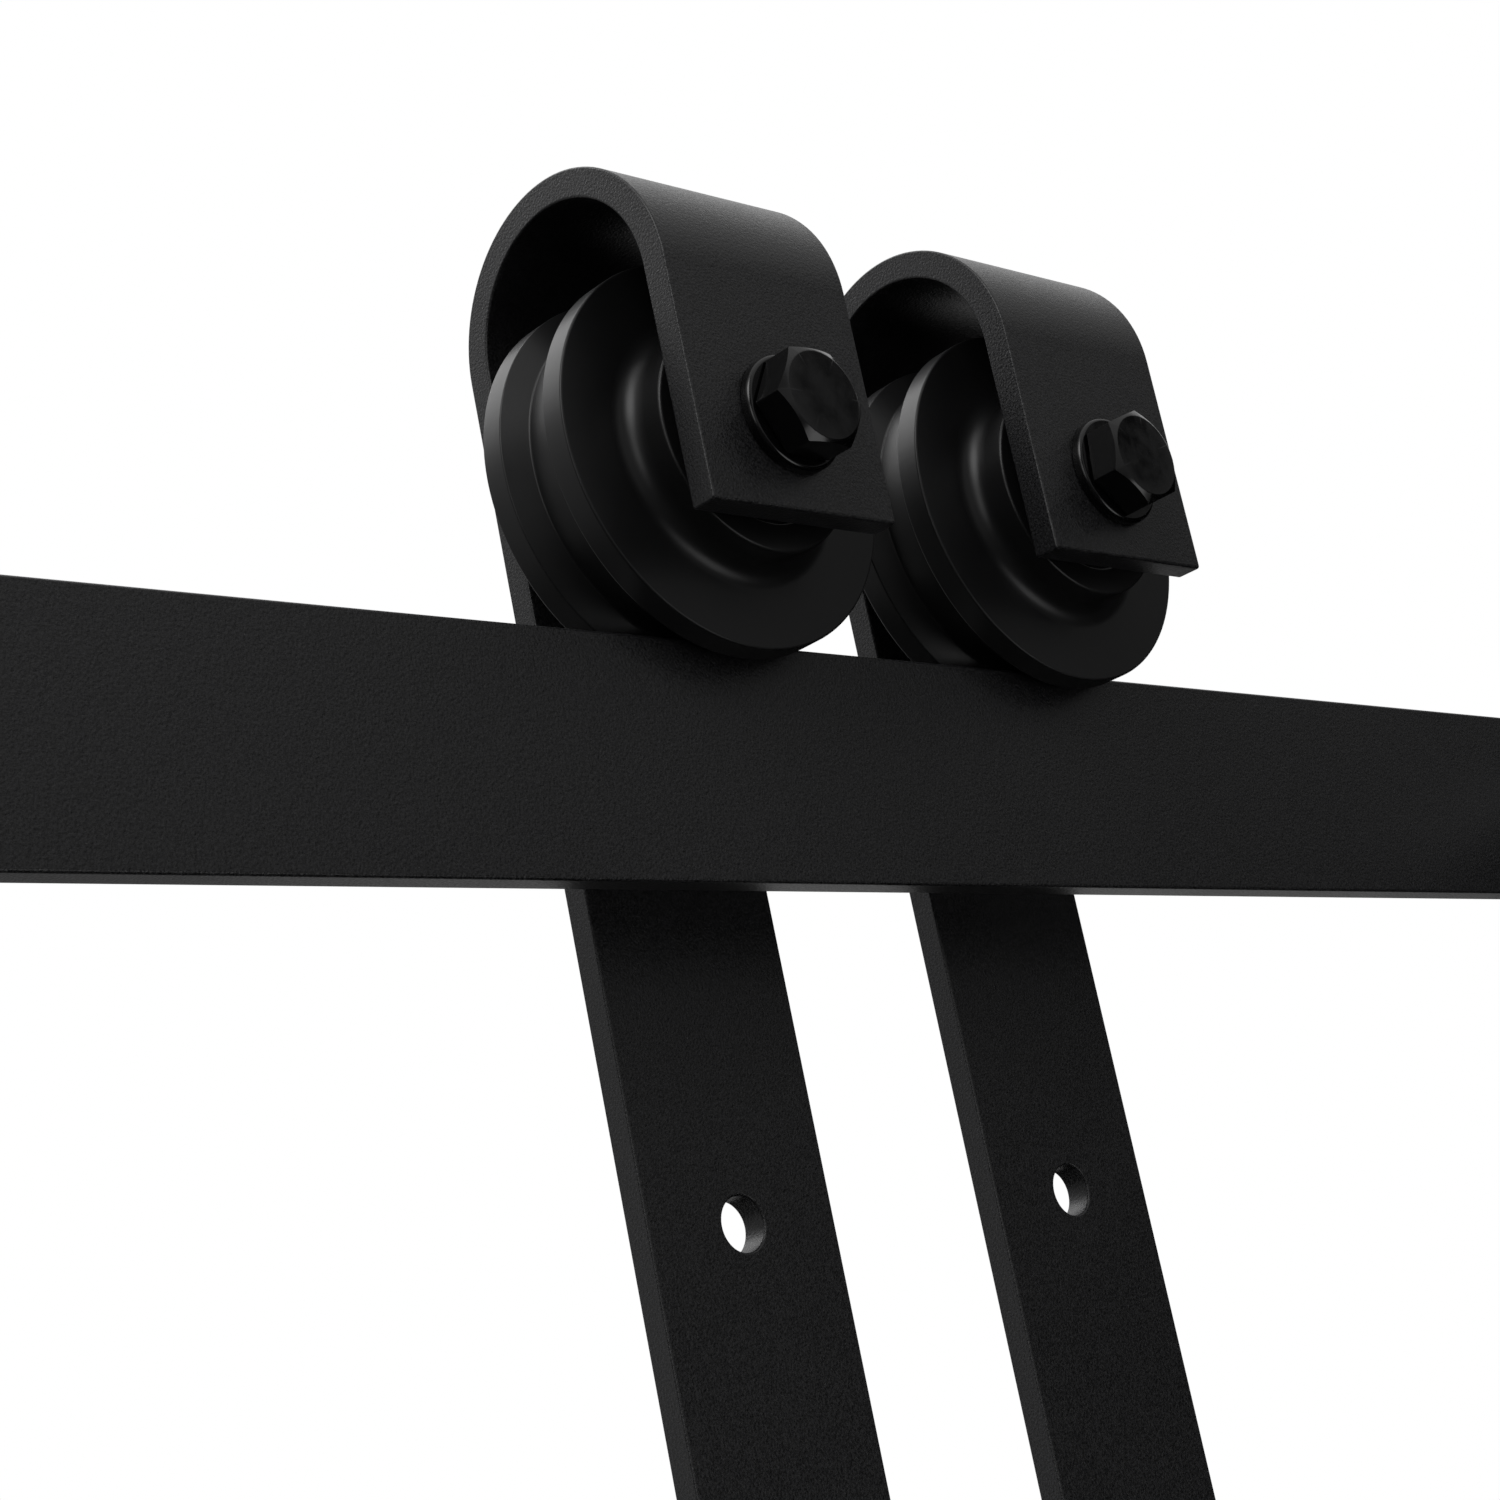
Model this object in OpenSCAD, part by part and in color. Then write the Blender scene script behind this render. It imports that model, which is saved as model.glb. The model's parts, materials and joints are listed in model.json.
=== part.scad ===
// Sliding barn door hardware: a flat rail held off the wall on spacers, and two bent strap
// hangers that straddle it, each rolling along the rail's top edge on a grooved wheel.
// Millimetres. +X runs along the rail, +Y from the wall into the room, +Z up. The origin is
// where the axis of the middle wall fixing meets the face of the wall.

/* [Rail] */
// Length of the rail
rail_length = 1000; // [980:10:1200]
// Height of the rail
rail_height = 40; // [38:1:44]
// Thickness of the rail
rail_thickness = 5; // [4.6:0.1:5]
// Chamfer along the rail's four long edges
rail_chamfer = 0.5; // [0.2:0.1:1]

/* [Wall fixings] */
// Distance between neighbouring wall fixings
fixing_spacing = 450; // [400:10:455]
// Distance from the wall to the back of the rail
standoff = 38; // [34:1:50]
// Outer diameter of a spacer
spacer_d = 25; // [20:1:27]
// Bore of a spacer
spacer_bore_d = 10; // [9:0.5:12]
// Diameter of a lag bolt's plain shank, thinner than its rolled thread
lag_shank_d = 7; // [6.5:0.1:7.2]
// Diameter of a lag bolt's thread
lag_thread_d = 8; // [7.9:0.1:8.2]
// Length of a lag bolt beyond the face of the wall
lag_embed = 45; // [30:1:60]
// Length of a lag bolt's point
lag_point = 6; // [4:1:10]
// Size across flats of a lag bolt's head
lag_head_af = 13; // [12:1:14]
// Height of a lag bolt's head
lag_head_h = 5.5; // [4:0.1:6]
// Outer diameter of a lag bolt's washer
lag_washer_d = 24; // [16:1:26]
// Thickness of a lag bolt's washer
lag_washer_h = 2; // [1.5:0.1:2.5]
// Diameter of the rail's fixing holes
rail_hole_d = 8.6; // [8.4:0.1:9]

/* [End stops] */
// Length of a stop block along the rail
stop_length = 24; // [20:1:28]
// Width of a stop block across the rail
stop_width = 25; // [22:1:28]
// Height of a stop block above the rail's top edge
stop_rise = 34; // [32:1:40]
// Depth of the slot that takes the rail's top edge
stop_grip = 28; // [20:1:30]
// Distance from a stop block to the end of the rail
stop_inset = 8; // [2:1:10]
// Diameter of a rubber bumper
bumper_d = 18; // [14:1:20]
// Length of a rubber bumper in front of its block
bumper_length = 4; // [3:0.5:5]
// Diameter of a clamping set screw
set_screw_d = 6; // [5:0.5:6]

/* [Hangers] */
// Place along the rail where the pair of hangers is parked
park_x = 225; // [-300:5:300]
// Distance between the two hangers
hanger_pitch = 80; // [72:1:160]
// Width of a strap
strap_width = 40; // [30:1:44]
// Thickness of a strap
strap_thickness = 5; // [4:0.5:6]
// Gap between the two legs of a strap
strap_gap = 40; // [38:1:44]
// Height of the bend's centre above the rail's top edge
bend_rise = 54.5; // [52:0.5:60]
// Height of the short leg's end above the rail's top edge
short_leg_rise = 13.5; // [10:0.5:16]
// Depth of the long leg's end below the rail's top edge
long_leg_drop = 195.5; // [185:0.5:300]
// Depth of the upper door bolt hole below the rail's top edge
door_hole_drop = 89; // [80:1:95]
// Distance between the two door bolt holes
door_hole_pitch = 80; // [60:1:85]
// Diameter of a door bolt hole
door_hole_d = 9; // [8.5:0.5:11]

/* [Wheels] */
// Diameter of a wheel over its flanges
wheel_d = 67; // [65:0.5:68]
// Diameter at the bottom of the groove
groove_d = 59.2; // [57:0.1:60]
// Width of the groove's flat bottom
groove_flat = 5.5; // [5.3:0.1:6]
// Width of a wheel over its rim
rim_width = 20; // [18:0.5:22]
// Width of the plain land on each side of the groove
rim_land = 4.5; // [3:0.5:5]
// Diameter of the hub
hub_d = 40; // [38:0.5:42]
// Length of the hub
hub_length = 35; // [34:0.5:36]
// Radius of the fillet between the rim's side and the hub
hub_fillet = 6; // [4:0.5:6]
// Gap between the groove's bottom and the rail's top edge
roll_gap = 0.05; // [0.02:0.01:0.1]

/* [Bearings] */
// Outer diameter of a bearing
bearing_d = 30; // [30:1:30]
// Width of a bearing
bearing_width = 9; // [8:0.5:9]
// Diameter of a ball
ball_d = 4.76; // [4.5:0.01:4.8]
// Diameter of the circle of ball centres
ball_circle_d = 20; // [20:0.1:20.2]
// Number of balls in a bearing
ball_count = 8; // [6:1:8]
// Gap between a ball and the raceways
ball_gap = 0.1; // [0.05:0.01:0.12]
// Distance between the two bearings of a wheel
bearing_gap = 15; // [14:0.5:16]

/* [Axle] */
// Diameter of an axle bolt
axle_d = 10; // [10:1:10]
// Length of an axle bolt under its head
axle_length = 65; // [65:1:75]
// Size across flats of the axle bolt's head and nut
axle_af = 16; // [16:1:17]
// Height of an axle bolt's head
axle_head_h = 6.4; // [6:0.1:7]
// Outer diameter of an axle washer
axle_washer_d = 20; // [18:1:22]
// Thickness of an axle washer
axle_washer_h = 2; // [1.6:0.1:2.5]
// Height of a lock nut with its collar
nut_h = 10; // [9:0.5:10]
// Outer diameter of the sleeve and collars on the axle
sleeve_d = 14; // [13:0.5:15]
// Turn of the left axle bolt's head about its axis
left_bolt_turn = 0; // [0:1:59]
// Turn of the right axle bolt's head about its axis
right_bolt_turn = 22; // [0:1:59]

/* [Hidden] */
$fn = 96;

// Powder coat, black nylon, black oxide, bearing steel, plated steel, rubber and white nylon
coat = "#26272a";
wheel_nylon = "#1a1a1b";
oxide = "#111112";
bearing_steel = "#b9bcc0";
plated = "#9a9da1";
rubber = "#202020";
insert_nylon = "#e4e4de";

rail_top = rail_height / 2;
rail_mid_y = standoff + rail_thickness / 2;
fixing_xs = [-fixing_spacing, 0, fixing_spacing];
left_x = park_x - hanger_pitch / 2;
right_x = park_x + hanger_pitch / 2;

// Distances from the middle plane of a wheel
leg_inside = strap_gap / 2;
leg_outside = leg_inside + strap_thickness;
bearing_inside = bearing_gap / 2;
bearing_outside = bearing_inside + bearing_width;
WALL = -1;
ROOM = 1;

wheel_r = wheel_d / 2;
groove_r = groove_d / 2;
axle_z = rail_top + groove_r + roll_gap;
edge_chamfer = 0.5;
fine_chamfer = 0.3;
slide_fit = 0.1;
hole_fit = 0.25;
thread_fit = 0.02;
// How far a cut runs past the face that it opens
overcut = 1;
// Diameter of a hexagon head's flat face, as a share of its size across flats
head_face_share = 0.94;
head_chamfer_angle = 30;

// Bearing sections, as radii
ball_r = ball_d / 2;
ball_circle_r = ball_circle_d / 2;
inner_shoulder_r = 8.5;
outer_shoulder_r = 11.6;
shield_seat_r = 12.4;
shield_seat_depth = 0.8;
shield_inner_r = 8.8;
shield_h = 0.5;
cage_half_depth = 0.9;
cage_width = 5.8;
wheel_bore_r = 12;

// Lock nut sections
nut_hex_h = 7;
nut_collar_r = 7.2;
insert_r = 6.3;
insert_h = 2.4;

// End stop sections
stop_top_chamfer = 2;
set_screw_spacing = 12;
set_screw_length = 9.5;
socket_af = 3;
socket_depth = 3;
bumper_stem_d = 6;
bumper_stem_length = 8;
bumper_chamfer = 1;

// ---- Shared shapes ----

// Points along an arc, from angle a0 to a1
function arc(centre, r, a0, a1, steps = 8) =
    [for (i = [0 : steps]) let (a = a0 + (a1 - a0) * i / steps) centre + r * [cos(a), sin(a)]];

// The same points seen in a mirror lying on the X axis, in the reverse order
function mirrored(points) = [for (i = [len(points) - 1 : -1 : 0]) [points[i].x, -points[i].y]];

// Turns what stands on Z so that it runs along +Y, and puts it at x, y and z
module along_y(x, y, z = 0) translate([x, y, z]) rotate([-90, 0, 0]) children();

// Puts children on the axle of the hanger at x, offset from the wheel's middle plane
module on_axle(x, offset = 0) along_y(x, rail_mid_y + offset, axle_z) children();

// Tube or washer standing on Z, chamfered on its outer edges
module ring(outer_d, inner_d, length, chamfer = fine_chamfer) {
    outer_r = outer_d / 2;
    inner_r = inner_d / 2;
    rotate_extrude() polygon([
        [inner_r, 0], [outer_r - chamfer, 0], [outer_r, chamfer],
        [outer_r, length - chamfer], [outer_r - chamfer, length], [inner_r, length]
    ]);
}

// Hexagonal prism standing on Z, with its upper corners turned off at 30 degrees
module hex_prism(af, height) {
    corner_r = af / sqrt(3);
    face_r = head_face_share * af / 2;
    stock_r = corner_r + overcut;
    intersection() {
        cylinder(r = corner_r, h = height, $fn = 6);
        rotate_extrude() polygon([
            [0, 0], [stock_r, 0], [stock_r, height - (stock_r - face_r) * tan(head_chamfer_angle)],
            [face_r, height], [0, height]
        ]);
    }
}

// ---- Rail and wall fixings ----

module rail() color(coat) {
    section = [rail_thickness / 2, rail_height / 2];
    inner = section - [rail_chamfer, rail_chamfer];
    difference() {
        translate([-rail_length / 2, rail_mid_y, 0]) rotate([90, 0, 90])
            linear_extrude(rail_length) polygon([
                [-section.x, -inner.y], [-inner.x, -section.y], [inner.x, -section.y],
                [section.x, -inner.y], [section.x, inner.y], [inner.x, section.y],
                [-inner.x, section.y], [-section.x, inner.y]
            ]);
        for (x = fixing_xs)
            along_y(x, standoff - overcut)
                cylinder(d = rail_hole_d, h = rail_thickness + 2 * overcut);
    }
}

module spacer(x) color(coat) along_y(x, 0) ring(spacer_d, spacer_bore_d, standoff, edge_chamfer);

// A lag bolt's pointed thread lies beyond the wall's face, its plain shank in the spacer
module lag_bolts() color(oxide) {
    thread_r = lag_thread_d / 2;
    shank_r = lag_shank_d / 2;
    head_y = standoff + rail_thickness + lag_washer_h;
    for (x = fixing_xs) {
        along_y(x, -lag_embed) rotate_extrude() polygon([
            [0, 0], [thread_r, lag_point], [thread_r, lag_embed], [shank_r, lag_embed],
            [shank_r, lag_embed + head_y], [0, lag_embed + head_y]
        ]);
        along_y(x, head_y) hex_prism(lag_head_af, lag_head_h);
    }
}

module lag_washers() color(oxide) for (x = fixing_xs)
    along_y(x, standoff + rail_thickness) ring(lag_washer_d, rail_hole_d, lag_washer_h);

// ---- End stops, at end = -1 on the left and 1 on the right ----

stop_far_x = rail_length / 2 - stop_inset;
stop_near_x = stop_far_x - stop_length;
stop_top = rail_top + stop_rise;
set_screw_z = rail_top - stop_grip / 2;
set_screw_y = rail_mid_y + stop_width / 2 - set_screw_length;
bumper_z = axle_z - bumper_d / 4;

module at_end(end) mirror([end < 0 ? 1 : 0, 0, 0]) children();

module stop_block(end) color(coat) at_end(end) difference() {
    half_width = stop_width / 2;
    bottom = rail_top - stop_grip;
    shoulder = half_width - stop_top_chamfer;
    translate([stop_near_x, rail_mid_y, 0]) rotate([90, 0, 90]) linear_extrude(stop_length) polygon([
        [-half_width, bottom], [half_width, bottom], [half_width, stop_top - stop_top_chamfer],
        [shoulder, stop_top], [-shoulder, stop_top], [-half_width, stop_top - stop_top_chamfer]
    ]);
    translate([stop_near_x - overcut, standoff - slide_fit, bottom - overcut])
        cube([
            stop_length + 2 * overcut, rail_thickness + 2 * slide_fit, stop_grip + overcut + slide_fit
        ]);
    for (side = [-1, 1])
        along_y(stop_near_x + stop_length / 2 + side * set_screw_spacing / 2, rail_mid_y, set_screw_z)
            cylinder(d = set_screw_d + 2 * thread_fit, h = stop_width);
    translate([stop_near_x - overcut, rail_mid_y, bumper_z]) rotate([0, 90, 0])
        cylinder(d = bumper_stem_d + 2 * thread_fit, h = bumper_stem_length + overcut + hole_fit);
}

module stop_bumper(end) color(rubber) at_end(end)
    translate([stop_near_x - bumper_length, rail_mid_y, bumper_z]) rotate([0, 90, 0])
        rotate_extrude() polygon([
            [0, 0], [bumper_d / 2 - bumper_chamfer, 0], [bumper_d / 2, bumper_chamfer],
            [bumper_d / 2, bumper_length],
            [bumper_stem_d / 2, bumper_length], [bumper_stem_d / 2, bumper_length + bumper_stem_length],
            [0, bumper_length + bumper_stem_length]
        ]);

module stop_screws() color(oxide) for (end = [-1, 1], side = [-1, 1]) at_end(end)
    along_y(stop_near_x + stop_length / 2 + side * set_screw_spacing / 2, set_screw_y, set_screw_z)
        difference() {
            cylinder(d = set_screw_d, h = set_screw_length);
            translate([0, 0, set_screw_length - socket_depth])
                cylinder(r = socket_af / sqrt(3), h = socket_depth + overcut, $fn = 6);
        }

// ---- Hanger: strap and what is clamped to it ----

// A flat bar bent over the wheel: a short leg on the wall side and a long leg on the room side
module strap(x) color(coat) {
    bend_z = rail_top + bend_rise;
    short_end = rail_top + short_leg_rise;
    long_end = rail_top - long_leg_drop;
    upper_hole_z = rail_top - door_hole_drop;
    difference() {
        translate([x - strap_width / 2, rail_mid_y, 0]) rotate([90, 0, 90]) linear_extrude(strap_width) {
            translate([-leg_outside, short_end]) square([strap_thickness, bend_z - short_end]);
            translate([leg_inside, long_end]) square([strap_thickness, bend_z - long_end]);
            translate([0, bend_z]) difference() {
                circle(r = leg_outside);
                circle(r = leg_inside);
                translate([-leg_outside - overcut, -leg_outside - overcut])
                    square([2 * (leg_outside + overcut), leg_outside + overcut]);
            }
        }
        on_axle(x, -leg_outside - overcut)
            cylinder(d = axle_d + 2 * hole_fit, h = 2 * (leg_outside + overcut));
        for (z = [upper_hole_z, upper_hole_z - door_hole_pitch])
            along_y(x, rail_mid_y + leg_inside - overcut, z)
                cylinder(d = door_hole_d, h = strap_thickness + 2 * overcut);
    }
}

module axle_bolt(x, turn) color(oxide) on_axle(x, -leg_outside - axle_washer_h) rotate([0, 0, -turn]) {
    cylinder(d = axle_d, h = axle_length);
    mirror([0, 0, 1]) hex_prism(axle_af, axle_head_h);
}

module axle_washers(x) color(oxide) for (offset = [-leg_outside - axle_washer_h, leg_outside])
    on_axle(x, offset) ring(axle_washer_d, axle_d + 2 * hole_fit, axle_washer_h);

module lock_nut(x) color(oxide) on_axle(x, leg_outside + axle_washer_h) difference() {
    union() {
        hex_prism(axle_af, nut_hex_h);
        ring(2 * nut_collar_r, axle_d, nut_h, edge_chamfer);
    }
    translate([0, 0, -overcut]) cylinder(d = axle_d + 2 * thread_fit, h = nut_h + 2 * overcut);
    translate([0, 0, nut_h - insert_h]) cylinder(r = insert_r, h = insert_h + overcut);
}

module nut_insert(x) color(insert_nylon) on_axle(x, leg_outside + axle_washer_h + nut_h - insert_h)
    ring(2 * insert_r, axle_d + 2 * thread_fit, insert_h);

module bearing_sleeve(x) color(plated) on_axle(x, -bearing_inside)
    ring(sleeve_d, axle_d + 2 * slide_fit, bearing_gap);

module axle_collars(x) color(plated) for (offset = [-leg_inside, bearing_outside])
    on_axle(x, offset) ring(sleeve_d, axle_d + 2 * slide_fit, leg_inside - bearing_outside);

// ---- Wheel ----

// Half of the wheel's section, as radius and distance from its middle plane, starting at the
// groove's bottom, going over the rim, down its side, up the hub and into the bearing seat
function wheel_half_section() =
    let (rim = rim_width / 2, hub_r = hub_d / 2, hub_end = hub_length / 2, bearing_r = bearing_d / 2)
    concat(
        [
            [groove_r, groove_flat / 2], [wheel_r, rim - rim_land],
            [wheel_r, rim - edge_chamfer], [wheel_r - edge_chamfer, rim]
        ],
        arc([hub_r + hub_fillet, rim + hub_fillet], hub_fillet, 270, 180),
        [
            [hub_r, hub_end - edge_chamfer], [hub_r - edge_chamfer, hub_end], [bearing_r, hub_end],
            [bearing_r, bearing_inside], [wheel_bore_r, bearing_inside]
        ]
    );

module wheel(x) color(wheel_nylon) on_axle(x) rotate_extrude()
    polygon(concat(wheel_half_section(), mirrored(wheel_half_section())));

// ---- Bearings, at side = WALL or ROOM of the wheel's middle plane ----

module in_bearing(x, side) on_axle(x, side * (bearing_inside + bearing_width / 2)) children();

module raceway_circle() translate([ball_circle_r, 0]) circle(r = ball_r + ball_gap);

module inner_race(x, side) color(bearing_steel) in_bearing(x, side) rotate_extrude() difference() {
    bore_r = axle_d / 2 + slide_fit / 2;
    translate([bore_r, -bearing_width / 2]) square([inner_shoulder_r - bore_r, bearing_width]);
    raceway_circle();
}

module outer_race(x, side) color(bearing_steel) in_bearing(x, side) rotate_extrude() difference() {
    end = bearing_width / 2;
    seat = end - shield_seat_depth;
    polygon([
        [outer_shoulder_r, -seat], [shield_seat_r, -seat], [shield_seat_r, -end],
        [bearing_d / 2, -end], [bearing_d / 2, end], [shield_seat_r, end],
        [shield_seat_r, seat], [outer_shoulder_r, seat]
    ]);
    raceway_circle();
}

module around_bearing() for (i = [0 : ball_count - 1]) rotate([0, 0, i * 360 / ball_count]) children();

module balls(x, side) color(bearing_steel) in_bearing(x, side) around_bearing()
    translate([ball_circle_r, 0, 0]) sphere(r = ball_r);

module cage(x, side) color(plated) in_bearing(x, side) difference() {
    outer_r = ball_circle_r + cage_half_depth;
    translate([0, 0, -cage_width / 2]) difference() {
        cylinder(r = outer_r, h = cage_width);
        translate([0, 0, -overcut])
            cylinder(r = ball_circle_r - cage_half_depth, h = cage_width + 2 * overcut);
    }
    around_bearing() rotate([0, 90, 0]) cylinder(r = ball_r + ball_gap, h = outer_r + overcut);
}

module shields(x, side) color(plated) in_bearing(x, side) for (face = [-1, 1])
    mirror([0, 0, face < 0 ? 1 : 0])
        translate([0, 0, bearing_width / 2 - shield_seat_depth]) difference() {
            cylinder(r = shield_seat_r, h = shield_h);
            translate([0, 0, -overcut]) cylinder(r = shield_inner_r, h = shield_h + 2 * overcut);
        }

// ---- What is drawn ----

rail();
spacer(fixing_xs[0]);  // left_spacer
spacer(fixing_xs[1]);  // middle_spacer
spacer(fixing_xs[2]);  // right_spacer
lag_bolts();
lag_washers();
stop_block(-1);  // left_stop_block
stop_block(1);  // right_stop_block
stop_bumper(-1);  // left_stop_bumper
stop_bumper(1);  // right_stop_bumper
stop_screws();

strap(left_x);  // left_strap
axle_bolt(left_x, left_bolt_turn);  // left_axle_bolt
axle_washers(left_x);  // left_axle_washers
lock_nut(left_x);  // left_lock_nut
nut_insert(left_x);  // left_nut_insert
bearing_sleeve(left_x);  // left_bearing_sleeve
axle_collars(left_x);  // left_axle_collars
wheel(left_x);  // left_wheel
inner_race(left_x, WALL);  // left_wall_inner_race
outer_race(left_x, WALL);  // left_wall_outer_race
balls(left_x, WALL);  // left_wall_balls
cage(left_x, WALL);  // left_wall_cage
shields(left_x, WALL);  // left_wall_shields
inner_race(left_x, ROOM);  // left_room_inner_race
outer_race(left_x, ROOM);  // left_room_outer_race
balls(left_x, ROOM);  // left_room_balls
cage(left_x, ROOM);  // left_room_cage
shields(left_x, ROOM);  // left_room_shields

strap(right_x);  // right_strap
axle_bolt(right_x, right_bolt_turn);  // right_axle_bolt
axle_washers(right_x);  // right_axle_washers
lock_nut(right_x);  // right_lock_nut
nut_insert(right_x);  // right_nut_insert
bearing_sleeve(right_x);  // right_bearing_sleeve
axle_collars(right_x);  // right_axle_collars
wheel(right_x);  // right_wheel
inner_race(right_x, WALL);  // right_wall_inner_race
outer_race(right_x, WALL);  // right_wall_outer_race
balls(right_x, WALL);  // right_wall_balls
cage(right_x, WALL);  // right_wall_cage
shields(right_x, WALL);  // right_wall_shields
inner_race(right_x, ROOM);  // right_room_inner_race
outer_race(right_x, ROOM);  // right_room_outer_race
balls(right_x, ROOM);  // right_room_balls
cage(right_x, ROOM);  // right_room_cage
shields(right_x, ROOM);  // right_room_shields
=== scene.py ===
"""Looks of the sliding barn door hardware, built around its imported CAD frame.

Everything is in metres in the frame's own axes: +X along the rail, +Y from the wall into the
room, +Z up. Places and main sizes come from the CAD nodes' boxes. The sizes that a box does not
give are the named values below, in millimetres, and outlines are drawn in millimetres too.
"""

import json
from math import atan2, ceil, cos, pi, radians, sin, sqrt, tan

import bmesh
import bpy
from mathutils import Matrix, Vector


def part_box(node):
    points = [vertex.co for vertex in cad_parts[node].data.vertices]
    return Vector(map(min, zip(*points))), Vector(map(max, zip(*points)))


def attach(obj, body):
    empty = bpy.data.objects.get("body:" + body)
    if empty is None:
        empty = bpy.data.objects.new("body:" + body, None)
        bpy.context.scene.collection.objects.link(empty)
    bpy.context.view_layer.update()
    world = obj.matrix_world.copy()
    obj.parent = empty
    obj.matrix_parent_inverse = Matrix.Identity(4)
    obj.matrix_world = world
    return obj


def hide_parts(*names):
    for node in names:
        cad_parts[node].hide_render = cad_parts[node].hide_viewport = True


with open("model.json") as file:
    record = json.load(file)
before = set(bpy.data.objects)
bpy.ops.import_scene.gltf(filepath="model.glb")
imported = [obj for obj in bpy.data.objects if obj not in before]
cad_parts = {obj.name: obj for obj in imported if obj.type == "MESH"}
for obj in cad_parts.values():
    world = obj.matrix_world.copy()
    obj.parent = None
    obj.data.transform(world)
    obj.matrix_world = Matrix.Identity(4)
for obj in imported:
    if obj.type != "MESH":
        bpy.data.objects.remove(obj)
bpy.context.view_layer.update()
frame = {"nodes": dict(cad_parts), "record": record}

MM = 0.001
HANGERS = ("left", "right")
WHEEL_FACES = ("wall", "room")
ENDS = ("left", "right")
FIXINGS = ("left", "middle", "right")

# Rounding of edges: BAR_EDGE is the one in a bar's outline, the next two run round that outline
BAR_EDGE = 0.55
RAIL_END_EDGE = 0.4
STRAP_EDGE = 0.4
HOLE_EDGE = 0.45
BEVEL_STEPS = 3
BEVEL_ANGLE = 60
SMOOTH_BELOW = 38

# Straps and the holes in rail and straps
STRAP_THICKNESS = 5.0
LEG_GAP = 40.0
SHORT_LEG_RISE = 13.5
BEND_STEPS = 56
AXLE_HOLE_R = 5.25
DOOR_HOLE_R = 4.5
DOOR_HOLE_DROPS = (89.0, 169.0)
FIXING_HOLE_R = 4.3

# End stops: block, set screws and bumper
BLOCK_EDGE = 0.9
BLOCK_END_EDGE = 0.7
BLOCK_TOP_R = 2.5
SLOT_PLAY = 0.1
SLOT_EDGE = 0.3
SCREW_OFFSET = 6.0
SCREW_HOLE_R = 3.02
SCREW_HOLE_EDGE = 0.4
SCREW_R = 2.98
SCREW_POINT_R = 2.6
SCREW_POINT = 0.4
SCREW_RIM_R = 2.7
SCREW_RIM = 0.3
SOCKET_AF = 3.0
SOCKET_DEPTH = 3.0
STEM_R = 3.0
STEM_CHAMFER = 0.5
# Bumper's dome: share of its radius and distance behind its face
BUMPER_DOME = ((0, 0), (0.35, 0.05), (0.62, 0.25), (0.82, 0.7), (0.95, 1.4), (1, 2.3))

# Wheel
GROOVE_R = 29.6
GROOVE_FLAT = 5.5
RIM_WIDTH = 20.0
RIM_LAND = 4.5
HUB_R = 20.0
HUB_FILLET = 6.0
WHEEL_BORE_R = 12.0

# Bearings
BEARING_R = 15.0
BEARING_BORE_R = 5.05
BEARING_INSIDE = 7.5
BEARING_WIDTH = 9.0
BALL_CIRCLE_R = 10.0
BALL_GROOVE_R = 2.42
INNER_SHOULDER_R = 8.5
OUTER_SHOULDER_R = 11.6
SHIELD_SEAT_R = 12.4
SHIELD_SEAT_DEPTH = 0.8
# Section of a pressed shield: radius and distance from the bearing's middle
SHIELD_PLATE = (
    (8.8, 3.75), (9.2, 3.72), (9.6, 3.95), (11.6, 4.05), (12.1, 4.2), (12.38, 4.15), (12.38, 3.72)
)

# Axle bolt, washers, collars and lock nut. SUNK is how far one part of a fastener runs into another
SUNK = 0.5
SHANK_R = 4.98
HEAD_AF = 16.0
HEAD_HEIGHT = 6.4
HEAD_TURNS = {"left": 0, "right": 22}
WASHER_FACE_R = 7.5
WASHER_FACE = 0.4
THREAD_LENGTH = 26.0
THREAD_ROOT_R = 4.2
THREAD_PITCH = 1.5
TIP_BASE_R = 4.6
TIP_LENGTH = 0.8
WASHER_THICKNESS = 2.0
WASHER_EDGE = 0.25
WASHER_ROLL = 0.8
COLLAR_BORE_R = 5.1
NUT_BORE_R = 5.02
NUT_HEX_HEIGHT = 7.0
NUT_COLLAR_R = 7.2
NUT_COLLAR_ROLL = 0.9
NUT_COLLAR_SUNK = 1.5
NUT_EDGE = 0.2
INSERT_R = 6.3
INSERT_PLAY = 0.02
INSERT_EDGE = 0.3

# Wall fixings
SPACER_BORE_R = 5.0
SPACER_EDGE = 0.6
SMALL_EDGE = 0.35
LAG_SHANK_R = 3.5
LAG_THREAD_R = 4.0
LAG_ROOT_R = 2.9
LAG_PITCH = 3.4
LAG_POINT = 6.0
LAG_HEAD_AF = 13.0
LAG_HEAD_HEIGHT = 5.5

# Floor, in metres
FLOOR_Z = -1.9
FLOOR_R = 1.2


# ---- Camera: from the wall side, below and to the left, rolled as a hand-held shot is ----

def add_camera():
    """Aims the camera by yaw from +Y towards +X, pitch above the horizon and roll."""
    yaw, pitch, roll = radians(45.62), radians(15.2), radians(-11.58)
    forward = Vector((sin(yaw) * cos(pitch), cos(yaw) * cos(pitch), sin(pitch)))
    level_right = Vector((cos(yaw), -sin(yaw), 0))
    level_up = level_right.cross(forward)
    right = level_right * cos(roll) + level_up * sin(roll)
    up = level_up * cos(roll) - level_right * sin(roll)
    data = bpy.data.cameras.new("camera")
    data.sensor_width = 36.0
    data.lens = 66.28
    camera = bpy.data.objects.new("camera", data)
    place = Vector((-0.1163, -0.2565, -0.1125))
    axes = Matrix((right, up, -forward)).transposed().to_4x4()
    camera.matrix_world = Matrix.Translation(place) @ axes
    bpy.context.scene.collection.objects.link(camera)
    bpy.context.scene.camera = camera


add_camera()


# ---- Outlines ----

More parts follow.
